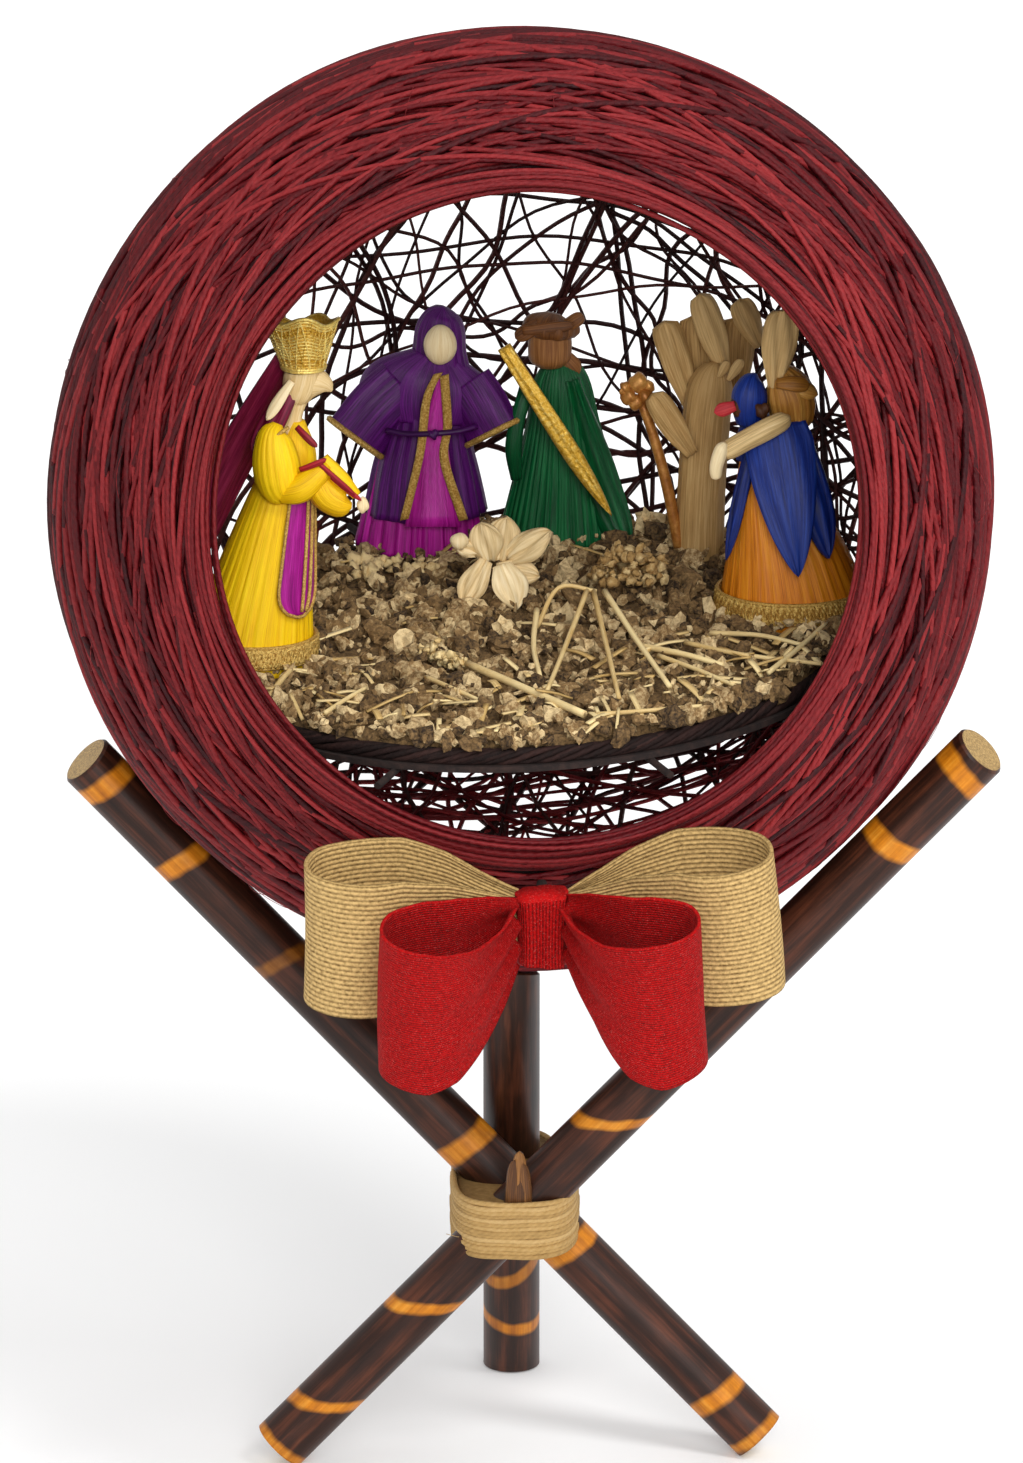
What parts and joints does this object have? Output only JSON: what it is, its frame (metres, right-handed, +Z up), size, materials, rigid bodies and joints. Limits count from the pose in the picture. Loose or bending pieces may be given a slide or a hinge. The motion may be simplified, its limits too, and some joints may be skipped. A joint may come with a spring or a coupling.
{
  "type": "nativity scene in a wound thread globe",
  "caption": "Hollow wound-thread globe with a round front opening, a husk-doll nativity scene on a floor inside, a ribbon bow and a lashed stick tripod.",
  "frame": {"origin": "on the surface that the tripod stands on, under the middle of the object's box", "axes": "+Z up; the globe's open side faces -Y; +X to the right as seen from the front"},
  "size_m": [0.3021, 0.338, 0.462],
  "materials": {
    "stained_wood": "dark stain with amber bands, satin",
    "jute": "coarse woven jute",
    "brown_husk": "dry husk, matt",
    "burgundy_thread": "glued twisted thread, satin",
    "dark_thread": "glued twisted thread, satin",
    "card": "matt",
    "dark_twine": "twisted twine, matt",
    "bark_crumbs": "crushed bark, matt",
    "yellow_husk": "dyed dry husk, satin",
    "pale_husk": "dry husk, matt",
    "gold_mesh": "metallic mesh",
    "gold_braid": "metallic braid",
    "magenta_husk": "dyed dry husk, satin",
    "red_husk": "dyed dry husk",
    "crimson_husk": "dyed dry husk, satin",
    "purple_husk": "dyed dry husk, satin",
    "green_husk": "dyed dry husk, satin",
    "beige_husk": "dry husk, matt",
    "gold_paint": "gold paint on a twig",
    "orange_husk": "dyed dry husk, satin",
    "golden_husk": "dyed dry husk, satin",
    "blue_husk": "dyed dry husk, satin",
    "cream_husk": "dry husk petals, matt",
    "seed": "dry seed heads, matt",
    "straw": "dry straw, matt",
    "red_ribbon": "woven ribbon with a light sparkle"
  },
  "bodies": {
    "stand": {"stick_left_foot": "stained_wood", "stick_right_foot": "stained_wood", "stick_back_foot": "stained_wood", "lashing_wrap": "jute", "husk_tuft": "brown_husk"},
    "globe": {"angel_arm": "beige_husk", "angel_robe": "beige_husk", "angel_wings": "beige_husk", "blue_arms": "pale_husk", "blue_cape": "blue_husk", "blue_collar": "golden_husk", "blue_hat_petal": "beige_husk", "blue_head": "pale_husk", "blue_hood": "blue_husk", "bow_knot": "red_ribbon", "bow_tie": "dark_twine", "child_head": "cream_husk", "child_petals": "cream_husk", "cream_seeds": "seed", "floor_board": "card", "floor_edge_cord": "dark_twine", "floor_ties": "dark_thread", "green_arm": "green_husk", "green_head": "brown_husk", "green_robe": "green_husk", "green_sash": "gold_braid", "green_turban": "brown_husk", "ground_bed": "bark_crumbs", "jute_loop_left": "jute", "jute_loop_right": "jute", "orange_hem_braid": "gold_braid", "orange_skirt": "orange_husk", "purple_coat": "purple_husk", "purple_gold_trims": "gold_braid", "purple_head": "pale_husk", "purple_hood": "purple_husk", "purple_skirt": "magenta_husk", "purple_sleeves": "purple_husk", "red_loop_left": "red_ribbon", "red_loop_right": "red_ribbon", "rim_coil": "burgundy_thread", "seed_cluster": "seed", "seed_stem": "straw", "staff": "gold_paint", "staff_ornament": "gold_paint", "straw_stems": "straw", "thread_band": "burgundy_thread", "thread_net": "dark_thread", "yellow_crown": "gold_mesh", "yellow_gift": "red_husk", "yellow_head": "pale_husk", "yellow_hem_braid": "gold_braid", "yellow_panel": "magenta_husk", "yellow_skirt": "yellow_husk", "yellow_sleeves": "yellow_husk", "yellow_veil": "crimson_husk"}
  },
  "joints": [
    {"name": "globe_lift", "type": "slide", "parent": "stand", "child": "globe", "axis": [0, 0, 1], "range_m": [0, 0.2]}
  ]
}
